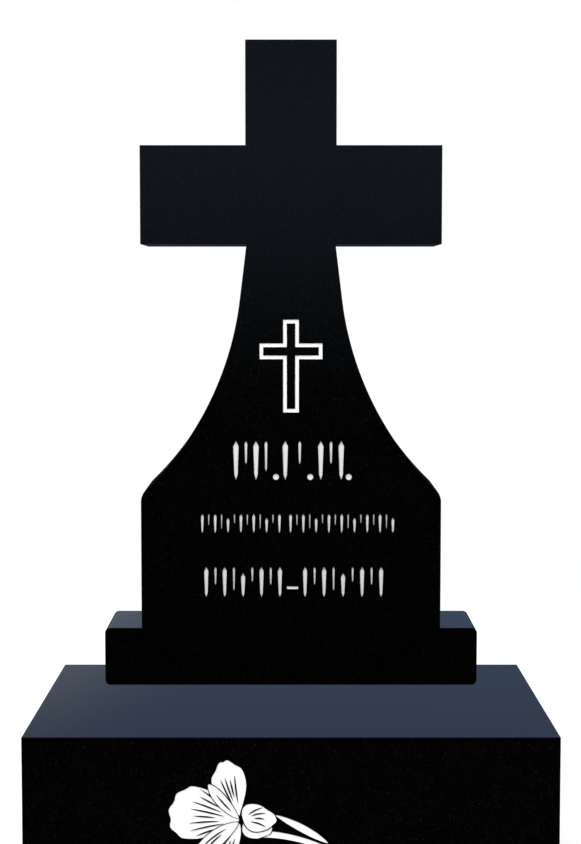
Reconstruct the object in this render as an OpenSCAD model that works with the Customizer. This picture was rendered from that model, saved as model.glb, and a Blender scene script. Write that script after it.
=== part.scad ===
// Polished granite headstone: a one-piece tablet whose head is a latin cross,
// a slim base slab under it, and a broad plinth block with an engraved flower.
// Millimetres. The origin is the middle of the plinth's underside, +Z is up
// and the engraved faces look towards -Y.

/* [Tablet] */
// Width of the tablet below its shoulders
tablet_w = 500; // [420:5:620]
// Height of the tablet from its foot to the top of the cross
tablet_h = 972; // [880:1:1180]
// Thickness of the tablet, and of the base that is flush with it
slab_t = 160; // [60:5:240]
// Radius of the rounded shoulders
shoulder_r = 30; // [5:1:50]

/* [Cross head] */
// Width of the shaft above the arms
shaft_w = 150; // [110:1:180]
// Span of the arms from end to end
arm_span = 497; // [380:1:620]
// Height of the arms' upper side above the tablet's foot
arm_top = 801; // [730:1:870]
// Depth of the arms from upper side to underside
arm_deep = 162; // [110:1:170]

/* [Neck] */
// Width of the neck where it meets the arms
neck_w = 147; // [110:1:180]
// How far the straight part of the neck leans out, in degrees from upright
neck_lean = 7; // [3:0.5:10]
// Height of the straight part of the neck
neck_straight = 91; // [40:1:110]
// Radius of the hollow sweep from the neck to the shoulders
flare_r = 530; // [480:5:640]

/* [Base] */
// Width of the base
base_w = 623; // [560:1:760]
// Height of the base
base_h = 97; // [60:1:140]
// Radius of the base's four rounded corners, seen from the front
base_corner_r = 9; // [3:1:25]

/* [Plinth] */
// Width of the plinth
plinth_w = 800; // [660:1:980]
// Depth of the plinth from front to back
plinth_d = 511; // [400:1:640]
// Height of the plinth
plinth_h = 275; // [265:1:400]
// How far the backs of base and tablet stand in from the plinth's back
back_inset = 4; // [0:1:60]

/* [Emblem] */
// Height of the engraved cross
emblem_h = 153.5; // [110:0.5:160]
// Span of the engraved cross
emblem_span = 104; // [70:1:120]
// Width of its upright and its arm, from outline to outline
emblem_bar = 26; // [18:1:34]
// Width of the engraved outline
emblem_line = 6; // [2:0.5:8]
// Height of the emblem's foot above the tablet's foot
emblem_z = 361.5; // [340:0.1:380]
// Height of the middle of its arm above its own foot
emblem_arm_z = 101.4; // [80:0.1:110]

/* [Inscription] */
// Depth of the emblem and of the strokes
cut_deep = 2; // [1:0.5:6]
// Height of the large row's foot above the tablet's foot
large_z = 249; // [235:1:260]
// Height of the large row's strokes
large_h = 65; // [40:1:75]
// Width of a broad stroke in the large row
large_w = 9; // [5:0.5:11]
// Diameter of the round stops in the large row
stop_d = 10; // [4:1:12]
// Height of the small row's foot above the tablet's foot
small_z = 160; // [150:1:180]
// Height of the small row's strokes
small_h = 32; // [20:1:40]
// Width of a broad stroke in the small row
small_w = 4.5; // [2:0.5:6]
// Height of the lowest row's foot above the tablet's foot
low_z = 52; // [30:1:70]
// Height of the lowest row's strokes
low_h = 51; // [30:1:60]
// Width of a broad stroke in the lowest row
low_w = 7; // [4:0.5:8]
// Width of the dash in the middle of the lowest row
dash_w = 19; // [8:1:22]
// Height of that dash
dash_h = 4.5; // [2:0.5:8]

/* [Flower] */
// Depth of the engraved flower
flower_deep = 1.5; // [0.5:0.5:5]
// Place of the flower's throat, across from the middle of the plinth
throat_x = -74; // [-110:1:0]
// Place of the flower's throat, below the plinth's top edge
throat_drop = 126; // [110:1:140]
// Size of the flower against its drawing
flower_size = 1; // [0.8:0.05:1.1]

/* [Hidden] */

$fn = 96;

stone = [0.05, 0.055, 0.06];
base_z = plinth_h;
tablet_z = base_z + base_h;
back_y = plinth_d / 2 - back_inset;
face_y = back_y - slab_t;
plinth_face_y = -plinth_d / 2;

// Tangent circles are pressed this far into what they touch, so that they cross it cleanly
lap = 0.01;
// How far one outline runs into the next, and a cutter out of the face
run = 5;

// Neck and flare: the straight part ends where the hollow sweep is tangent to it
arm_under = arm_top - arm_deep;
flare_top = [neck_w / 2 + neck_straight * tan(neck_lean), arm_under - neck_straight];
flare_mid = flare_top + flare_r * [cos(neck_lean), sin(neck_lean)];
shoulder_x = tablet_w / 2 - shoulder_r;
shoulder_reach = flare_r + shoulder_r;
shoulder_rise = sqrt(pow(shoulder_reach, 2) - pow(flare_mid.x - shoulder_x, 2));
shoulder_mid = [shoulder_x, flare_mid.y - shoulder_rise];
shoulder_way = (flare_mid - shoulder_mid) / shoulder_reach;

// Width of a slim stroke, and of a stroke's foot, as shares of a broad stroke's width
slim = 0.5;
foot = 0.6;
// Heights of the strokes in turn, as shares of their row
stroke_turns = [1, 0.6, 1, 0.78, 0.8, 0.5];

// Groups of strokes in each row: left edge, right edge, number of strokes
large_groups = [[-96, -37, 4], [-14, 19, 2], [45, 88, 3]];
stops_x = [-25, 32, 96];
small_groups = [[-150, -17, 13], [-3, 172, 17]];
low_groups = [[-145, -15, 9], [20, 154, 9]];
dash_x = 2.5;
dash_rise = 16;

// Petals from front to back: [aim in degrees, root gap, length, width, root power, tip power,
// frill waves, frill, bend, number of veins, fan of the veins in degrees]
petals = [
    [136, 5, 68, 17, 0.8, 0.6, 0, 0, -0.08, 1, 0],
    [109, 8, 86, 51, 1.2, 0.75, 9, 0.022, -0.05, 4, 24],
    [18, 3, 48, 44, 0.4, 0.7, 7, 0.02, -0.26, 4, 62],
    [212, 5, 91, 26, 0.7, 0.5, 5, 0.015, 0.16, 2, 14],
    [169, 3, 104, 80, 1.05, 0.5, 12, 0.02, 0.04, 8, 66],
    [-20, 4, 44, 40, 0.38, 0.7, 7, 0.02, 0.02, 1, 0],
    [243, 5, 83, 34, 0.8, 0.5, 8, 0.02, -0.1, 3, 24],
];
// Line of standing stone between two petals, and the width of a vein
petal_gap = 1.6;
vein_w = 2.6;
// Where the veins start and how long they are, by turns, as shares of their petal
vein_turns = [[0.22, 0.5], [0.34, 0.32], [0.28, 0.44]];

// Leaves: [root across and up from the throat, aim in degrees, length, width, bend]
leaves = [
    [[50, 9], -25, 90, 11, -0.06],
    [[100, -44], -50, 92, 17, 0.08],
];
// Stem: the start, pull and end of its curve from the throat, and its width at both ends
stem_from = [30, -20];
stem_pull = [122, -22];
stem_to = [212, -98];
stem_w = [10, 4.5];
stem_steps = 16;

// A point at a distance along and across a line that starts at root and aims at an angle
function along_aim(root, aim, along, across = 0) = [
    root.x + along * cos(aim) - across * sin(aim),
    root.y + along * sin(aim) + across * cos(aim)
];

// Half-width of a blade as a share of its widest, at a share out of its length
function swell(out, root_power, tip_power) =
    let (widest = root_power / (root_power + tip_power))
    pow(out / widest, root_power) * pow((1 - out) / (1 - widest), tip_power);

// Outline of a petal, leaf or vein: it swells from its root, closes at its tip and may have a frilled rim
function blade(root, aim, size, width, powers, bend, waves = 0, frill = 0) =
    let (steps = 8 + 2 * floor(size / 4)) [
        for (i = [0 : steps - 1])
            let (turn = 360 * i / steps, out = (1 - cos(turn)) / 2)
            let (rim = 1 + frill * out * cos(waves * turn))
            let (half = sign(sin(turn)) * width / 2 * swell(out, powers[0], powers[1]))
            along_aim(root, aim, size * out * rim, half * rim + bend * size * out * out)
    ];

// A petal's outline, drawn larger all round by grow
function petal_outline(p, grow) =
    blade(
        along_aim([0, 0], p[0], p[1] - grow), p[0], p[2] + 2 * grow, p[3] + 2 * grow,
        [p[4], p[5]], p[8], p[6], p[7]
    );

// A point on the stem's curve, the direction square to it there, and a point on its edge
function stem_point(t) =
    pow(1 - t, 2) * stem_from + 2 * t * (1 - t) * stem_pull + t * t * stem_to;
function stem_side(t) =
    let (way = (1 - t) * (stem_pull - stem_from) + t * (stem_to - stem_pull))
    [-way.y, way.x] / norm(way);
function stem_edge(t, side) =
    stem_point(t) + side * (stem_w[0] + t * (stem_w[1] - stem_w[0])) / 2 * stem_side(t);

// A flat outline stood up in the front view, from its back at back_at, thick towards -Y
module stood_up(back_at, thick) {
    translate([0, back_at, 0]) rotate([90, 0, 0]) linear_extrude(thick) children();
}

// A cutter that sinks an outline into a face at front_at
module sunk(front_at, deep) {
    stood_up(front_at + deep, deep + run) children();
}

// A rectangle standing on a height, centred across
module bar(width, height, rise = 0) {
    translate([-width / 2, rise]) square([width, height]);
}

// The neck with its two hollow sweeps
module neck_outline() {
    half = [
        [neck_w / 2, arm_under + run],
        [neck_w / 2, arm_under],
        flare_top,
        shoulder_mid + shoulder_r / 2 * shoulder_way,
        [shoulder_mid.x, shoulder_mid.y - run],
    ];
    difference() {
        polygon(concat([for (p = half) [-p.x, p.y]], [for (i = [len(half) - 1 : -1 : 0]) half[i]]));
        for (side = [-1, 1])
            translate([side * flare_mid.x, flare_mid.y]) circle(flare_r + lap, $fn = 360);
    }
}

module tablet_outline() {
    bar(tablet_w, shoulder_mid.y);
    for (side = [-1, 1])
        translate([side * shoulder_mid.x, shoulder_mid.y]) circle(shoulder_r);
    neck_outline();
    bar(arm_span, arm_deep, arm_under);
    bar(shaft_w, tablet_h - arm_under, arm_under);
}

// A latin cross, drawn in by inset on every side
module cross_outline(inset) {
    bar(emblem_bar - 2 * inset, emblem_h - 2 * inset, inset);
    bar(emblem_span - 2 * inset, emblem_bar - 2 * inset, emblem_arm_z - emblem_bar / 2 + inset);
}

module emblem_outline() {
    difference() {
        cross_outline(0);
        cross_outline(emblem_line);
    }
}

// One upright chisel stroke with pointed ends, broad at its head and drawn in at its foot
module chisel_stroke(width, height) {
    polygon([
        [0, 0],
        [width * foot / 2, width],
        [width / 2, height - width],
        [0, height],
        [-width / 2, height - width],
        [-width * foot / 2, width]
    ]);
}

// Strokes side by side, by turns broad and slim, the slim ones short and hung from the top
module stroke_group(left, right, count, width, height) {
    pitch = (right - left - width) / (count - 1);
    for (i = [0 : count - 1]) {
        broad = i % 2 == 0;
        tall = height * stroke_turns[i % len(stroke_turns)];
        translate([left + width / 2 + i * pitch, broad ? 0 : height - tall])
            chisel_stroke(broad ? width : width * slim, tall);
    }
}

module stroke_row(groups, rise, width, height) {
    translate([0, rise])
        for (g = groups)
            stroke_group(g[0], g[1], g[2], width, height);
}

module inscription_outline() {
    stroke_row(large_groups, large_z, large_w, large_h);
    for (x = stops_x)
        translate([x, large_z + stop_d / 2]) circle(d = stop_d);
    stroke_row(small_groups, small_z, small_w, small_h);
    stroke_row(low_groups, low_z, low_w, low_h);
    translate([dash_x, low_z + dash_rise]) square([dash_w, dash_h], center = true);
}

module petal(i, grow = 0) {
    polygon(petal_outline(petals[i], grow));
}

// The veins of a petal, fanned out from its root by turns long and short
module veins(p) {
    for (k = [0 : p[9] - 1]) {
        aim = p[0] + p[10] * ((k + 0.5) / p[9] - 0.5);
        place = vein_turns[k % len(vein_turns)];
        root = along_aim([0, 0], aim, p[1] + place[0] * p[2]);
        polygon(blade(root, aim, place[1] * p[2], vein_w, [0.7, 0.7], p[8]));
    }
}

// Petals with their veins, each cut back from the petals in front of it, then the leaves and the stem
module flower_outline() {
    last = len(petals) - 1;
    for (i = [0 : last])
        difference() {
            petal(i);
            for (j = [0 : 1 : i - 1])
                petal(j, petal_gap);
            veins(petals[i]);
        }
    difference() {
        union() {
            for (l = leaves)
                polygon(blade(l[0], l[1], l[2], l[3], [0.9, 0.8], l[4]));
            polygon(concat(
                [for (i = [stem_steps : -1 : 0]) stem_edge(i / stem_steps, 1)],
                [for (i = [0 : stem_steps]) stem_edge(i / stem_steps, -1)]
            ));
        }
        for (j = [0 : last])
            petal(j, petal_gap);
    }
}

module cross_tablet() {
    color(stone) translate([0, 0, tablet_z])
        difference() {
            stood_up(back_y, slab_t) tablet_outline();
            sunk(face_y, cut_deep) translate([0, emblem_z]) emblem_outline();
            sunk(face_y, cut_deep) inscription_outline();
        }
}

module base() {
    color(stone) translate([0, 0, base_z])
        stood_up(back_y, slab_t) {
            bar(base_w, base_h - 2 * base_corner_r, base_corner_r);
            bar(base_w - 2 * base_corner_r, base_h);
            for (x = [-1, 1], z = [base_corner_r, base_h - base_corner_r])
                translate([x * (base_w / 2 - base_corner_r), z]) circle(base_corner_r);
        }
}

module plinth() {
    color(stone)
        difference() {
            translate([-plinth_w / 2, -plinth_d / 2, 0]) cube([plinth_w, plinth_d, plinth_h]);
            sunk(plinth_face_y, flower_deep)
                translate([throat_x, plinth_h - throat_drop]) scale(flower_size) flower_outline();
        }
}

cross_tablet();
base();
plinth();
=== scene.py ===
import math
import bmesh
import bpy
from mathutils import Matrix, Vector


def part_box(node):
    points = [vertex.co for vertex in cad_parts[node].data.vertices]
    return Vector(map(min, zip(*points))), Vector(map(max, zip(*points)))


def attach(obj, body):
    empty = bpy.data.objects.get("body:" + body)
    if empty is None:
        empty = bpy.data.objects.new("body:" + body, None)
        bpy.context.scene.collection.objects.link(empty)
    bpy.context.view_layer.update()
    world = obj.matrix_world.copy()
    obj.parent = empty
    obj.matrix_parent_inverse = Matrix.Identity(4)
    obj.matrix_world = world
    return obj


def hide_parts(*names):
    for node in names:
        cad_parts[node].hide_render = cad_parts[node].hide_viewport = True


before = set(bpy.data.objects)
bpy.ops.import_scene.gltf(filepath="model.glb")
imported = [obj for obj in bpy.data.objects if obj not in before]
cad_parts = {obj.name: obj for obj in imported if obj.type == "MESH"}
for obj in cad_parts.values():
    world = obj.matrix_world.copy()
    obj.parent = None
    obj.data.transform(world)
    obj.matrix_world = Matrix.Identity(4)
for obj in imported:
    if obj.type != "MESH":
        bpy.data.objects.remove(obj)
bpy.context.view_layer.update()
scene = bpy.context.scene
scene.view_settings.view_transform = "Standard"

tabletLow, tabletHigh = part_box("cross_tablet")
baseLow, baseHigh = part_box("base")
plinthLow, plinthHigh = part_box("plinth")


def linkObject(name, data):
    made = bpy.data.objects.new(name, data)
    scene.collection.objects.link(made)
    return made


def meshFrom(bm, name):
    mesh = bpy.data.meshes.new(name)
    bm.to_mesh(mesh)
    bm.free()
    return mesh


def addNode(tree, kind, **settings):
    made = tree.nodes.new(kind)
    for key, value in settings.items():
        setattr(made, key, value)
    return made


def setInputs(node, values):
    for label, value in values.items():
        node.inputs[label].default_value = value


def addMath(tree, operation, first, second, clamp=False):
    made = addNode(tree, "ShaderNodeMath", operation=operation, use_clamp=clamp)
    for socket, value in zip(made.inputs, (first, second)):
        if isinstance(value, (int, float)):
            socket.default_value = value
        else:
            tree.links.new(value, socket)
    return made.outputs[0]


def softStep(tree, value, edges):
    made = addNode(tree, "ShaderNodeMapRange", interpolation_type="SMOOTHSTEP")
    tree.links.new(value, made.inputs["Value"])
    setInputs(made, {"From Min": edges[0], "From Max": edges[1]})
    return made.outputs["Result"]


def mixColour(tree, share, first, second):
    made = addNode(tree, "ShaderNodeMix", data_type="RGBA")
    tree.links.new(share, made.inputs["Factor"])
    for label, value in (("A", first), ("B", second)):
        if isinstance(value, bpy.types.NodeSocket):
            tree.links.new(value, made.inputs[label])
        else:
            made.inputs[label].default_value = value
    return made.outputs["Result"]


# Camera: a long lens a little below the arms of the cross, tipped down towards the plinth
cameraSizes = {
    "lens": 75.06,
    "sensor": 36.0,
    "distance": 2.9113,      # from the tablet's front
    "height": 0.5633,        # above the tablet's foot
    "across": -0.0008,
    "tipDown": 0.07464,      # radians
    "clipEnd": 200.0,
}


def makeCamera():
    data = bpy.data.cameras.new("camera")
    data.lens = cameraSizes["lens"]
    data.sensor_width = cameraSizes["sensor"]
    data.clip_end = cameraSizes["clipEnd"]
    made = linkObject("camera", data)
    made.location = (
        cameraSizes["across"],
        tabletLow.y - cameraSizes["distance"],
        tabletLow.z + cameraSizes["height"],
    )
    made.rotation_euler = (math.pi / 2 - cameraSizes["tipDown"], 0.0, 0.0)
    scene.camera = made


makeCamera()
print("camera placed")


# Studio: white background, soft even light, a pale floor, and a slate sky that only the polish
# mirrors
studio = {
    "ambient": 0.62,
    "keyPower": 95.0,
    "keySize": 1.8,
    "keyPlace": (-1.9, -2.6, 3.1),
    "fillPower": 40.0,
    "fillPlace": (2.6, -2.2, 1.9),
    "backPower": 45.0,
    "backPlace": (0.6, 3.0, 2.8),
    "aim": (0.0, 0.0, 0.75),
    "white": (1.0, 1.0, 1.0, 1.0),
    "floorSize": 14.0,
    "floorSteps": 96,
    "floorColour": (0.80, 0.80, 0.80, 1.0),
    "floorRough": 0.9,
    "floorGlow": 0.40,
    "fadeNear": 1.1,         # the floor begins to fade into the background here
    "fadeFar": 3.2,
    "skyRadius": 30.0,
    "skySteps": (64, 32),    # around, and from pole to pole
    "skyHigh": (0.116, 0.163, 0.265, 1.0),
    "skyLow": (0.140, 0.190, 0.270, 1.0),
    "skyPale": (0.260, 0.300, 0.360, 1.0),
    "groundNear": (0.0, 0.0, 0.0, 1.0),
    "groundFar": (0.170, 0.180, 0.200, 1.0),
    "skyEdge": (-0.055, 0.135),          # sines of the heights where dark ground turns to sky
    "edgeRise": 0.025,                   # that edge is so much higher behind the stone
    "behindEdge": (0.0, 0.5),            # the rise sets in here, from the sides to the back
    "highEdge": (0.12, 0.20),            # and where the low sky turns to the high one
    "paleMiddle": (-0.20, 0.975, 0.09),  # a pale patch low behind the stone, on the left
    "paleEdge": (0.195, 0.115),
    "groundEdge": (-0.05, -0.26),        # the ground grows lighter below these heights
    "aroundEdge": (-0.93, -0.60),        # and away from the front
}


def seenDirectly(tree):
    ray = addNode(tree, "ShaderNodeLightPath").outputs
    seen = addMath(tree, "ADD", ray["Is Camera Ray"], ray["Is Glossy Ray"], True)
    return addMath(tree, "ADD", seen, ray["Is Transmission Ray"], True)


def makeWorld():
    world = bpy.data.worlds.new("studioWorld")
    scene.world = world
    world.use_nodes = True
    tree = world.node_tree
    background = tree.nodes["Background"]
    setInputs(background, {"Color": studio["white"]})
    span = addNode(tree, "ShaderNodeMapRange")
    tree.links.new(seenDirectly(tree), span.inputs["Value"])
    setInputs(span, {"To Min": studio["ambient"], "To Max": 1.0})
    tree.links.new(span.outputs["Result"], background.inputs["Strength"])


def makeLamp(name, place, power, size):
    data = bpy.data.lights.new(name, "AREA")
    data.shape = "DISK"
    data.size = size
    data.energy = power
    made = linkObject(name, data)
    made.location = place
    aim = Vector(studio["aim"]) - Vector(place)
    made.rotation_euler = aim.to_track_quat("-Z", "Y").to_euler()
    made.visible_camera = False
    made.visible_glossy = False


def makeFloor():
    bm = bmesh.new()
    bmesh.ops.create_circle(
        bm, cap_ends=True, segments=studio["floorSteps"], radius=studio["floorSize"] / 2
    )
    floor = linkObject("floor", meshFrom(bm, "floor"))
    material = bpy.data.materials.new("paleFloor")
    material.use_nodes = True
    tree = material.node_tree
    shader = tree.nodes["Principled BSDF"]
    setInputs(shader, {
        "Base Color": studio["floorColour"],
        "Roughness": studio["floorRough"],
        "Emission Color": studio["white"],
    })
    place = addNode(tree, "ShaderNodeTexCoord").outputs["Object"]
    reach = addNode(tree, "ShaderNodeVectorMath", operation="LENGTH")
    tree.links.new(place, reach.inputs[0])
    fade = softStep(tree, reach.outputs["Value"], (studio["fadeNear"], studio["fadeFar"]))
    seen = seenDirectly(tree)
    glow = addMath(tree, "MULTIPLY", seen, studio["floorGlow"])
    tree.links.new(glow, shader.inputs["Emission Strength"])
    white = addNode(tree, "ShaderNodeEmission")
    tree.links.new(seen, white.inputs["Strength"])
    mix = addNode(tree, "ShaderNodeMixShader")
    tree.links.new(fade, mix.inputs["Fac"])
    tree.links.new(shader.outputs["BSDF"], mix.inputs[1])
    tree.links.new(white.outputs["Emission"], mix.inputs[2])
    tree.links.new(mix.outputs["Shader"], tree.nodes["Material Output"].inputs["Surface"])
    floor.data.materials.append(material)
    floor.visible_glossy = False


def makeMirroredSky():
    bm = bmesh.new()
    around, upright = studio["skySteps"]
    bmesh.ops.create_uvsphere(
        bm, u_segments=around, v_segments=upright, radius=studio["skyRadius"]
    )
    dome = linkObject("mirroredSky", meshFrom(bm, "mirroredSky"))
    material = bpy.data.materials.new("slateSky")
    material.use_nodes = True
    tree = material.node_tree
    tree.nodes.remove(tree.nodes["Principled BSDF"])
    place = addNode(tree, "ShaderNodeTexCoord").outputs["Object"]
    unit = addNode(tree, "ShaderNodeVectorMath", operation="NORMALIZE")
    tree.links.new(place, unit.inputs[0])
    parts = addNode(tree, "ShaderNodeSeparateXYZ")
    tree.links.new(unit.outputs["Vector"], parts.inputs["Vector"])
    back, height = parts.outputs["Y"], parts.outputs["Z"]
    patch = addNode(tree, "ShaderNodeVectorMath", operation="DISTANCE")
    tree.links.new(unit.outputs["Vector"], patch.inputs[0])
    patch.inputs[1].default_value = studio["paleMiddle"]
    pale = softStep(tree, patch.outputs["Value"], studio["paleEdge"])
    high = softStep(tree, height, studio["highEdge"])
    sky = mixColour(tree, high, studio["skyLow"], studio["skyHigh"])
    sky = mixColour(tree, pale, sky, studio["skyPale"])
    away = softStep(tree, back, studio["aroundEdge"])
    below = addMath(tree, "MULTIPLY", away, softStep(tree, height, studio["groundEdge"]))
    ground = mixColour(tree, below, studio["groundNear"], studio["groundFar"])
    behind = softStep(tree, back, studio["behindEdge"])
    lowered = addMath(tree, "MULTIPLY", behind, -studio["edgeRise"])
    rise = softStep(tree, addMath(tree, "ADD", height, lowered), studio["skyEdge"])
    glow = addNode(tree, "ShaderNodeEmission")
    tree.links.new(mixColour(tree, rise, ground, sky), glow.inputs["Color"])
    tree.links.new(glow.outputs["Emission"], tree.nodes["Material Output"].inputs["Surface"])
    dome.data.materials.append(material)
    for ray in ("camera", "diffuse", "transmission", "volume_scatter", "shadow"):
        setattr(dome, "visible_" + ray, False)


makeWorld()
makeLamp("keyLamp", studio["keyPlace"], studio["keyPower"], studio["keySize"])
makeLamp("fillLamp", studio["fillPlace"], studio["fillPower"], studio["keySize"])
makeLamp("backLamp", studio["backPlace"], studio["backPower"], studio["keySize"])
makeFloor()
makeMirroredSky()
print("studio ready")


# A node group with named sockets, and what it is given and puts out
def newGroup(kind, name, inputs, outputs):
    tree = bpy.data.node_groups.new(name, kind)
    for side, sockets in (("INPUT", inputs), ("OUTPUT", outputs)):
        for label, data in sockets.items():
            tree.interface.new_socket(name=label, in_out=side, socket_type="NodeSocket" + data)
    return tree, addNode(tree, "NodeGroupInput").outputs, addNode(tree, "NodeGroupOutput").inputs


# Layers of finer detail in each noise
noiseLayers = {"clouds": 3.0, "polish": 1.0, "pits": 4.0}


# Crystals of the stone: interlocked grains, some a little darker, with sparse pale flecks
def makeCrystalGroup():
    tree, given, put = newGroup(
        "ShaderNodeTree",
        "crystalGrain",
        {
            "Vector": "Vector",
            "Grains Per Metre": "Float",
            "Clouds Per Metre": "Float",
            "Dark": "Color",
            "Pale": "Color",
            "Fleck": "Color",
            "Fleck Share": "Float",
        },
        {"Color": "Color", "Fleck Mask": "Float"},
    )
    links = tree.links
    grains = addNode(tree, "ShaderNodeTexVoronoi")
    links.new(given["Vector"], grains.inputs["Vector"])
    links.new(given["Grains Per Metre"], grains.inputs["Scale"])
    cloud = addNode(tree, "ShaderNodeTexNoise")
    links.new(given["Vector"], cloud.inputs["Vector"])
    links.new(given["Clouds Per Metre"], cloud.inputs["Scale"])
    cloud.inputs["Detail"].default_value = noiseLayers["clouds"]
    tone = addNode(tree, "ShaderNodeSeparateColor")
    links.new(grains.outputs["Color"], tone.inputs["Color"])
    share = addMath(tree, "MULTIPLY", tone.outputs["Red"], cloud.outputs["Fac"])
    body = mixColour(tree, share, given["Dark"], given["Pale"])
    mask = addMath(tree, "LESS_THAN", tone.outputs["Green"], given["Fleck Share"])
    links.new(mixColour(tree, mask, body, given["Fleck"]), put["Color"])
    links.new(mask, put["Fleck Mask"])
    return tree


# Faint waviness that a polishing head leaves on a broad face
def makePolishGroup():
    tree, given, put = newGroup(
        "ShaderNodeTree",
        "polishWave",
        {"Vector": "Vector", "Waves Per Metre": "Float"},
        {"Height": "Float"},
    )
    wave = addNode(tree, "ShaderNodeTexNoise")
    tree.links.new(given["Vector"], wave.inputs["Vector"])
    tree.links.new(given["Waves Per Metre"], wave.inputs["Scale"])
    wave.inputs["Detail"].default_value = noiseLayers["polish"]
    tree.links.new(wave.outputs["Fac"], put["Height"])
    return tree


# Tooth of blasted stone: fine pits, and a softer unevenness under them
def makeToothGroup():
    tree, given, put = newGroup(
        "ShaderNodeTree",
        "blastedTooth",
        {"Vector": "Vector", "Pits Per Metre": "Float", "Patches Per Metre": "Float"},
        {"Height": "Float", "Shade": "Float"},
    )
    links = tree.links
    pits = addNode(tree, "ShaderNodeTexNoise")
    links.new(given["Vector"], pits.inputs["Vector"])
    links.new(given["Pits Per Metre"], pits.inputs["Scale"])
    pits.inputs["Detail"].default_value = noiseLayers["pits"]
    broad = addNode(tree, "ShaderNodeTexNoise")
    links.new(given["Vector"], broad.inputs["Vector"])
    links.new(given["Patches Per Metre"], broad.inputs["Scale"])
    links.new(pits.outputs["Fac"], put["Height"])
    links.new(broad.outputs["Fac"], put["Shade"])
    return tree


crystalGroup = makeCrystalGroup()
polishGroup = makePolishGroup()
toothGroup = makeToothGroup()

granite = {
    "dark": (0.0004, 0.0004, 0.0003, 1.0),
    "pale": (0.0018, 0.0018, 0.0016, 1.0),
    "fleck": (0.0080, 0.0084, 0.0092, 1.0),
    "fleckShare": 0.035,
    "grainsPerMetre": 850.0,
    "cloudsPerMetre": 14.0,
    "smooth": 0.04,          # roughness of the polish
    "fleckRough": 0.14,      # and of a fleck in it
    "ior": 1.5,
    "wavesPerMetre": 9.0,
    "waveHeight": 0.00002,
}


def makeGranite():
    material = bpy.data.materials.new("polishedGranite")
    material.use_nodes = True
    tree = material.node_tree
    shader = tree.nodes["Principled BSDF"]
    setInputs(shader, {"IOR": granite["ior"]})
    place = addNode(tree, "ShaderNodeTexCoord").outputs["Object"]
    grain = addNode(tree, "ShaderNodeGroup", node_tree=crystalGroup)
    tree.links.new(place, grain.inputs["Vector"])
    setInputs(grain, {
        "Grains Per Metre": granite["grainsPerMetre"],
        "Clouds Per Metre": granite["cloudsPerMetre"],
        "Dark": granite["dark"],
        "Pale": granite["pale"],
        "Fleck": granite["fleck"],
        "Fleck Share": granite["fleckShare"],
    })
    tree.links.new(grain.outputs["Color"], shader.inputs["Base Color"])
    rough = addNode(tree, "ShaderNodeMapRange")
    tree.links.new(grain.outputs["Fleck Mask"], rough.inputs["Value"])
    setInputs(rough, {"To Min": granite["smooth"], "To Max": granite["fleckRough"]})
    tree.links.new(rough.outputs["Result"], shader.inputs["Roughness"])
    wave = addNode(tree, "ShaderNodeGroup", node_tree=polishGroup)
    tree.links.new(place, wave.inputs["Vector"])
    setInputs(wave, {"Waves Per Metre": granite["wavesPerMetre"]})
    bump = addNode(tree, "ShaderNodeBump")
    setInputs(bump, {"Distance": granite["waveHeight"]})
    tree.links.new(wave.outputs["Height"], bump.inputs["Height"])
    tree.links.new(bump.outputs["Normal"], shader.inputs["Normal"])
    return material


# Paint in the engraving: its colours, plain and in shaded spots, and the tooth of the stone below
engravingPaint = {
    "white": ((0.95, 0.95, 0.95, 1.0), (0.93, 0.93, 0.93, 1.0)),
    "silver": ((0.78, 0.78, 0.78, 1.0), (0.74, 0.74, 0.74, 1.0)),
    "rough": 0.55,
    "pitsPerMetre": 1400.0,
    "patchesPerMetre": 160.0,
    "toothStrength": 0.25,
    "toothHeight": 0.0004,
}


def makePaint(name, shades):
    colour, shaded = shades
    material = bpy.data.materials.new(name)
    material.use_nodes = True
    tree = material.node_tree
    shader = tree.nodes["Principled BSDF"]
    setInputs(shader, {"Roughness": engravingPaint["rough"]})
    tooth = addNode(tree, "ShaderNodeGroup", node_tree=toothGroup)
    setInputs(tooth, {
        "Pits Per Metre": engravingPaint["pitsPerMetre"],
        "Patches Per Metre": engravingPaint["patchesPerMetre"],
    })
    tree.links.new(addNode(tree, "ShaderNodeTexCoord").outputs["Object"], tooth.inputs["Vector"])
    spotted = mixColour(tree, tooth.outputs["Shade"], shaded, colour)
    tree.links.new(spotted, shader.inputs["Base Color"])
    bump = addNode(tree, "ShaderNodeBump")
    setInputs(bump, {
        "Strength": engravingPaint["toothStrength"],
        "Distance": engravingPaint["toothHeight"],
    })
    tree.links.new(tooth.outputs["Height"], bump.inputs["Height"])
    tree.links.new(bump.outputs["Normal"], shader.inputs["Normal"])
    return material


polishedGranite = makeGranite()
whitePaint = makePaint("whitePaint", engravingPaint["white"])
silverPaint = makePaint("silverPaint", engravingPaint["silver"])
print("materials ready")


def arcPoints(middle, radius, fromAngle, toAngle, steps):
    angles = [fromAngle + (toAngle - fromAngle) * k / steps for k in range(steps + 1)]
    return [middle + radius * Vector((math.cos(a), math.sin(a))) for a in angles]


# How stones are cut and finished
stoneCut = {
    "easedAngle": math.radians(40),      # edges sharper than this are eased
    "arrisSteps": 3,
    "smoothAngle": math.radians(35),     # faces that meet flatter than this are shaded as one
    "flatWeight": 100,                   # large faces lead in the shading by this much
    "weld": 1e-6,
    "levelSlack": 1e-5,                  # a floor's corners lie this close to its level
    "straight": 0.01,                    # corners that turn less, in radians, are taken out
}


# A rectangle about a middle
def rectangle(x, z, width, height):
    corners = ((1, -1), (1, 1), (-1, 1), (-1, -1))
    return [Vector((x + i * width / 2, z + k * height / 2)) for i, k in corners]


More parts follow.
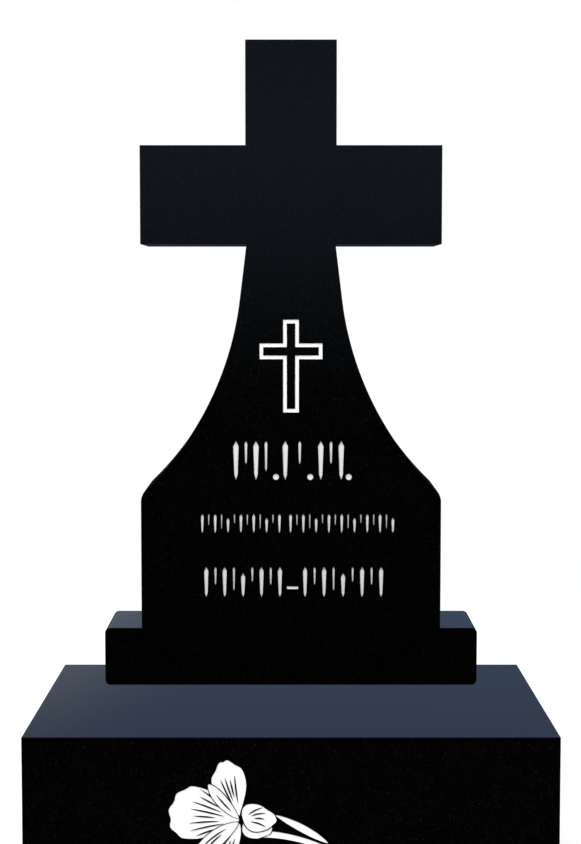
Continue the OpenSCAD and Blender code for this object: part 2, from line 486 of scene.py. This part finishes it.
# An outline in the front view, thick from front to back
def addPrism(bm, outline, front, back):
    rings = [[bm.verts.new((p.x, y, p.y)) for p in outline] for y in (front, back)]
    bm.faces.new(rings[0])
    bm.faces.new(reversed(rings[1]))
    for i in range(len(outline)):
        j = (i + 1) % len(outline)
        bm.faces.new((rings[0][j], rings[0][i], rings[1][i], rings[1][j]))
    return rings


# A stone cut to an outline, with eased edges. The edge that runs across through keepSharp isn't
# eased: there two flush faces meet in a hairline joint.
def cutStone(outline, front, back, arris, keepSharp=None):
    bm = bmesh.new()
    addPrism(bm, outline, front, back)
    bmesh.ops.recalc_face_normals(bm, faces=bm.faces)
    eased = [e for e in bm.edges if e.is_convex and e.calc_face_angle() > stoneCut["easedAngle"]]
    if keepSharp is not None:
        weld = stoneCut["weld"]
        eased = [e for e in eased if any((v.co - keepSharp).yz.length > weld for v in e.verts)]
    bmesh.ops.bevel(
        bm, geom=eased, offset=arris, segments=stoneCut["arrisSteps"], profile=0.5,
        affect="EDGES", clamp_overlap=True,
    )
    return bm


# Floors of the engraving in a CAD node, kept where keep says so, as flat outlines
def engravedFloors(node, low, deep, keep):
    bm = bmesh.new()
    bm.from_mesh(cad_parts[node].data)
    bmesh.ops.remove_doubles(bm, verts=bm.verts, dist=stoneCut["weld"])
    level = low.y + deep
    away = [
        f for f in bm.faces
        if any(abs(v.co.y - level) > stoneCut["levelSlack"] for v in f.verts)
        or not keep(f.calc_center_median().z)
    ]
    bmesh.ops.delete(bm, geom=away, context="FACES")
    bmesh.ops.dissolve_limit(
        bm, angle_limit=stoneCut["straight"], verts=bm.verts, edges=bm.edges
    )
    return meshFrom(bm, node + "Floors")


# Geometry Nodes: raises flat floors into closed cutters that reach out of the face
def makeCutterTree():
    tree, given, put = newGroup(
        "GeometryNodeTree",
        "engravingCutter",
        {"Floors": "Geometry", "Reach": "Float", "Paint": "Material"},
        {"Cutter": "Geometry"},
    )
    links = tree.links
    raised = addNode(tree, "GeometryNodeExtrudeMesh", mode="FACES")
    raised.inputs["Individual"].default_value = False
    offset = addNode(tree, "ShaderNodeCombineXYZ")
    links.new(addMath(tree, "MULTIPLY", given["Reach"], -1.0), offset.inputs["Y"])
    links.new(given["Floors"], raised.inputs["Mesh"])
    links.new(offset.outputs["Vector"], raised.inputs["Offset"])
    turned = addNode(tree, "GeometryNodeFlipFaces")
    links.new(given["Floors"], turned.inputs["Mesh"])
    joined = addNode(tree, "GeometryNodeJoinGeometry")
    links.new(raised.outputs["Mesh"], joined.inputs["Geometry"])
    links.new(turned.outputs["Mesh"], joined.inputs["Geometry"])
    closed = addNode(tree, "GeometryNodeMergeByDistance")
    closed.inputs["Distance"].default_value = stoneCut["weld"]
    links.new(joined.outputs["Geometry"], closed.inputs["Geometry"])
    real = addNode(tree, "GeometryNodeRealizeInstances")
    links.new(closed.outputs["Geometry"], real.inputs["Geometry"])
    painted = addNode(tree, "GeometryNodeSetMaterial")
    links.new(real.outputs["Geometry"], painted.inputs["Geometry"])
    links.new(given["Paint"], painted.inputs["Material"])
    links.new(painted.outputs["Geometry"], put["Cutter"])
    return tree


cutterTree = makeCutterTree()


def bakedMesh(holder, name):
    graph = bpy.context.evaluated_depsgraph_get()
    mesh = bpy.data.meshes.new_from_object(holder.evaluated_get(graph), depsgraph=graph)
    mesh.name = name
    return mesh


# Runs a node tree on a mesh, its inputs set by their identifiers, and returns the plain result
def grownMesh(name, mesh, nodeTree, values):
    holder = linkObject(name, mesh)
    modifier = holder.modifiers.new(name, "NODES")
    modifier.node_group = nodeTree
    for item in nodeTree.interface.items_tree:
        if item.in_out == "INPUT" and item.name in values:
            modifier[item.identifier] = values[item.name]
    made = bakedMesh(holder, name)
    bpy.data.objects.remove(holder)
    return made


def makeCutter(name, floors, reach, paint):
    return linkObject(name, grownMesh(name, floors, cutterTree, {"Reach": reach, "Paint": paint}))


# Engraves the cutters into a stone and returns the finished piece
def finishStone(name, bm, cutters):
    stone = linkObject(name, meshFrom(bm, name))
    stone.data.materials.append(polishedGranite)
    for cutter in cutters:
        cut = stone.modifiers.new(cutter.name, "BOOLEAN")
        cut.object = cutter
        cut.solver = "EXACT"
        cut.material_mode = "TRANSFER"
    stone.data = bakedMesh(stone, name)
    stone.modifiers.clear()
    for cutter in cutters:
        bpy.data.objects.remove(cutter)
    for polygon in stone.data.polygons:
        polygon.use_smooth = True
    stone.data.set_sharp_from_angle(angle=stoneCut["smoothAngle"])
    level = stone.modifiers.new("flatFaces", "WEIGHTED_NORMAL")
    level.keep_sharp = True
    level.weight = stoneCut["flatWeight"]
    return stone


def setPiece(piece, node):
    piece.visible_glossy = False     # the polish mirrors the sky alone
    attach(piece, "root")
    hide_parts(node)


# The tablet: lower body, rounded shoulders, hollow neck, arms and shaft
tablet = {
    "neckWidth": 0.147,
    "neckLean": math.radians(7),
    "neckStraight": 0.091,
    "flareRadius": 0.530,
    "shoulderRadius": 0.030,
    "shaftWidth": 0.150,
    "armSpan": 0.497,
    "armTop": 0.801,         # above the tablet's foot
    "armDepth": 0.162,
    "arris": 0.0012,
    "flareSteps": 72,
    "shoulderSteps": 16,
    "cutDepth": 0.002,
    "emblemAbove": 0.33,     # the emblem is the engraving above this height
    "cutterReach": 0.006,
}


def tabletOutline():
    width = tabletHigh.x - tabletLow.x
    height = tabletHigh.z - tabletLow.z
    lean, radius, corner = tablet["neckLean"], tablet["flareRadius"], tablet["shoulderRadius"]
    armUnder = tablet["armTop"] - tablet["armDepth"]
    straight = tablet["neckStraight"]
    flareTop = Vector((tablet["neckWidth"] / 2 + straight * math.tan(lean), armUnder - straight))
    flareMid = flareTop + radius * Vector((math.cos(lean), math.sin(lean)))
    shoulderX = width / 2 - corner
    drop = math.sqrt((radius + corner) ** 2 - (flareMid.x - shoulderX) ** 2)
    shoulderMid = Vector((shoulderX, flareMid.y - drop))
    meet = math.atan2(drop, flareMid.x - shoulderX)
    right = [Vector((width / 2, 0.0))]
    right += arcPoints(shoulderMid, corner, 0.0, meet, tablet["shoulderSteps"])
    right += arcPoints(flareMid, radius, math.pi + meet, math.pi + lean, tablet["flareSteps"])[1:]
    right += [
        Vector((tablet["neckWidth"] / 2, armUnder)),
        Vector((tablet["armSpan"] / 2, armUnder)),
        Vector((tablet["armSpan"] / 2, tablet["armTop"])),
        Vector((tablet["shaftWidth"] / 2, tablet["armTop"])),
        Vector((tablet["shaftWidth"] / 2, height)),
    ]
    left = [Vector((-p.x, p.y)) for p in reversed(right)]
    return [Vector((p.x, p.y + tabletLow.z)) for p in right + left]


# The inscription: rows of pointed chisel strokes with round stops and a dash, in no alphabet
inscription = {
    "cutterReach": 0.004,
    "slim": 0.5,             # width of a slim stroke against a broad one
    "footShare": 0.6,        # width at a stroke's foot against its head
    "turns": (1.0, 0.6, 1.0, 0.78, 0.8, 0.5),    # stroke heights in turn against the row
    # each row: its foot above the tablet's foot, height, width, groups of (left, right, strokes)
    "rows": (
        (0.249, 0.065, 0.0090, ((-0.096, -0.037, 4), (-0.014, 0.019, 2), (0.045, 0.088, 3))),
        (0.160, 0.032, 0.0045, ((-0.150, -0.017, 13), (-0.003, 0.172, 17))),
        (0.052, 0.051, 0.0070, ((-0.145, -0.015, 9), (0.020, 0.154, 9))),
    ),
    "stopDiameter": 0.010,
    "stopSteps": 32,
    "stopsAcross": (-0.025, 0.032, 0.096),
    "dash": (0.0025, 0.068, 0.019, 0.0045),      # across, above the foot, width, height
}


# Front and back of the strokes' cutters
def strokeReach():
    return tabletLow.y - inscription["cutterReach"], tabletLow.y + tablet["cutDepth"]


# A stroke of width one whose upper three corners carry top, by which its height is added later
def unitStroke():
    half, foot = 0.5, inscription["footShare"] / 2
    corners = ((0, 0, 0), (foot, 1, 0), (half, -1, 1), (0, 0, 1), (-half, -1, 1), (-foot, 1, 0))
    bm = bmesh.new()
    top = bm.verts.layers.float.new("top")
    for ring in addPrism(bm, [Vector(corner[:2]) for corner in corners], *strokeReach()):
        for vert, corner in zip(ring, corners):
            vert[top] = corner[2]
    return meshFrom(bm, "unitStroke")


# Geometry Nodes: strokes side by side, by turns broad and slim, the slim ones hung from the top
def makeStrokeTree():
    tree, given, put = newGroup(
        "GeometryNodeTree",
        "strokeRow",
        {
            "Stroke": "Geometry",
            "Left": "Float",
            "Right": "Float",
            "Foot": "Float",
            "Height": "Float",
            "Width": "Float",
            "Slim": "Float",
            "Count": "Int",
            "Paint": "Material",
        },
        {"Row": "Geometry"},
    )
    links = tree.links

    # Height, width and hang of each stroke, by its turn
    index = addNode(tree, "GeometryNodeInputIndex").outputs["Index"]
    isSlim = addMath(tree, "MODULO", index, 2.0)
    turns = addNode(tree, "GeometryNodeIndexSwitch", data_type="FLOAT")
    while len(turns.index_switch_items) < len(inscription["turns"]):
        turns.index_switch_items.new()
    turn = addMath(tree, "MODULO", index, float(len(inscription["turns"])))
    links.new(turn, turns.inputs["Index"])
    for k, share in enumerate(inscription["turns"]):
        turns.inputs[str(k)].default_value = share
    tall = addMath(tree, "MULTIPLY", turns.outputs["Output"], given["Height"])
    thinner = addMath(tree, "MULTIPLY", isSlim, addMath(tree, "SUBTRACT", 1.0, given["Slim"]))
    wide = addMath(tree, "MULTIPLY", given["Width"], addMath(tree, "SUBTRACT", 1.0, thinner))
    hung = addMath(tree, "MULTIPLY", isSlim, addMath(tree, "SUBTRACT", given["Height"], tall))

    # Places of the strokes, on a line from left to right
    first = addMath(tree, "ADD", given["Left"], addMath(tree, "MULTIPLY", given["Width"], 0.5))
    span = addMath(tree, "SUBTRACT", given["Right"], given["Left"])
    span = addMath(tree, "SUBTRACT", span, given["Width"])
    pitch = addMath(tree, "DIVIDE", span, addMath(tree, "SUBTRACT", given["Count"], 1.0))
    start = addNode(tree, "ShaderNodeCombineXYZ")
    links.new(first, start.inputs["X"])
    links.new(given["Foot"], start.inputs["Z"])
    step = addNode(tree, "ShaderNodeCombineXYZ")
    links.new(pitch, step.inputs["X"])
    line = addNode(tree, "GeometryNodeMeshLine", mode="OFFSET")
    links.new(given["Count"], line.inputs["Count"])
    links.new(start.outputs["Vector"], line.inputs["Start Location"])
    links.new(step.outputs["Vector"], line.inputs["Offset"])

    # A stroke in each place, with its height noted on it
    noted = addNode(tree, "GeometryNodeStoreNamedAttribute", data_type="FLOAT", domain="POINT")
    noted.inputs["Name"].default_value = "tall"
    links.new(line.outputs["Mesh"], noted.inputs["Geometry"])
    links.new(tall, noted.inputs["Value"])
    lift = addNode(tree, "ShaderNodeCombineXYZ")
    links.new(hung, lift.inputs["Z"])
    hang = addNode(tree, "GeometryNodeSetPosition")
    links.new(noted.outputs["Geometry"], hang.inputs["Geometry"])
    links.new(lift.outputs["Vector"], hang.inputs["Offset"])
    scale = addNode(tree, "ShaderNodeCombineXYZ")
    scale.inputs["Y"].default_value = 1.0
    links.new(wide, scale.inputs["X"])
    links.new(wide, scale.inputs["Z"])
    copies = addNode(tree, "GeometryNodeInstanceOnPoints")
    links.new(hang.outputs["Geometry"], copies.inputs["Points"])
    links.new(given["Stroke"], copies.inputs["Instance"])
    links.new(scale.outputs["Vector"], copies.inputs["Scale"])
    real = addNode(tree, "GeometryNodeRealizeInstances")
    links.new(copies.outputs["Instances"], real.inputs["Geometry"])

    # The upper corners drawn up by the noted height
    carried = []
    for label in ("top", "tall"):
        reader = addNode(tree, "GeometryNodeInputNamedAttribute", data_type="FLOAT")
        reader.inputs["Name"].default_value = label
        carried.append(reader.outputs["Attribute"])
    stretch = addNode(tree, "ShaderNodeCombineXYZ")
    links.new(addMath(tree, "MULTIPLY", *carried), stretch.inputs["Z"])
    drawn = addNode(tree, "GeometryNodeSetPosition")
    links.new(real.outputs["Geometry"], drawn.inputs["Geometry"])
    links.new(stretch.outputs["Vector"], drawn.inputs["Offset"])
    painted = addNode(tree, "GeometryNodeSetMaterial")
    links.new(drawn.outputs["Geometry"], painted.inputs["Geometry"])
    links.new(given["Paint"], painted.inputs["Material"])
    links.new(painted.outputs["Geometry"], put["Row"])
    return tree


def makeInscription():
    strokeTree = makeStrokeTree()
    front, back = strokeReach()
    bm = bmesh.new()
    for foot, height, width, groups in inscription["rows"]:
        for left, right, count in groups:
            row = grownMesh("strokes", unitStroke(), strokeTree, {
                "Left": left, "Right": right, "Foot": tabletLow.z + foot, "Height": height,
                "Width": width, "Slim": inscription["slim"], "Count": count, "Paint": silverPaint,
            })
            bm.from_mesh(row)
    radius = inscription["stopDiameter"] / 2
    for x in inscription["stopsAcross"]:
        middle = Vector((x, tabletLow.z + inscription["rows"][0][0] + radius))
        ring = arcPoints(middle, radius, 0.0, 2 * math.pi, inscription["stopSteps"])[:-1]
        addPrism(bm, ring, front, back)
    x, rise, width, height = inscription["dash"]
    addPrism(bm, rectangle(x, tabletLow.z + rise, width, height), front, back)
    bmesh.ops.recalc_face_normals(bm, faces=bm.faces)
    cutter = linkObject("inscription", meshFrom(bm, "inscription"))
    cutter.data.materials.clear()
    cutter.data.materials.append(silverPaint)
    return cutter


def makeTablet():
    bm = cutStone(tabletOutline(), tabletLow.y, tabletHigh.y, tablet["arris"], tabletLow)
    border = tabletLow.z + tablet["emblemAbove"]
    floors = engravedFloors("cross_tablet", tabletLow, tablet["cutDepth"], lambda z: z > border)
    emblem = makeCutter("emblem", floors, tablet["cutterReach"], whitePaint)
    stone = finishStone("crossTablet", bm, [emblem, makeInscription()])
    setPiece(stone, "cross_tablet")


makeTablet()
print("tablet cut")


# The base: a slim slab with four rounded corners in the front view
baseSlab = {"corner": 0.009, "cornerSteps": 14, "arris": 0.0012}


def makeBase():
    corner = baseSlab["corner"]
    outline = []
    for turn, (x, z) in enumerate((
        (baseHigh.x - corner, baseLow.z + corner),
        (baseHigh.x - corner, baseHigh.z - corner),
        (baseLow.x + corner, baseHigh.z - corner),
        (baseLow.x + corner, baseLow.z + corner),
    )):
        start = (turn - 1) * math.pi / 2
        outline += arcPoints(
            Vector((x, z)), corner, start, start + math.pi / 2, baseSlab["cornerSteps"]
        )
    topFront = Vector((0.0, baseLow.y, baseHigh.z))
    bm = cutStone(outline, baseLow.y, baseHigh.y, baseSlab["arris"], topFront)
    stone = finishStone("baseSlab", bm, [])
    setPiece(stone, "base")


makeBase()
print("base cut")


# The plinth: a plain sharp-edged block with the flower engraved in its front
plinth = {"arris": 0.0012, "cutDepth": 0.0015, "cutterReach": 0.006}


def makePlinth():
    outline = [
        Vector((plinthHigh.x, plinthLow.z)),
        Vector((plinthHigh.x, plinthHigh.z)),
        Vector((plinthLow.x, plinthHigh.z)),
        Vector((plinthLow.x, plinthLow.z)),
    ]
    bm = cutStone(outline, plinthLow.y, plinthHigh.y, plinth["arris"])
    floors = engravedFloors("plinth", plinthLow, plinth["cutDepth"], lambda z: True)
    flower = makeCutter("flower", floors, plinth["cutterReach"], whitePaint)
    stone = finishStone("plinthBlock", bm, [flower])
    setPiece(stone, "plinth")


makePlinth()
print("plinth cut")
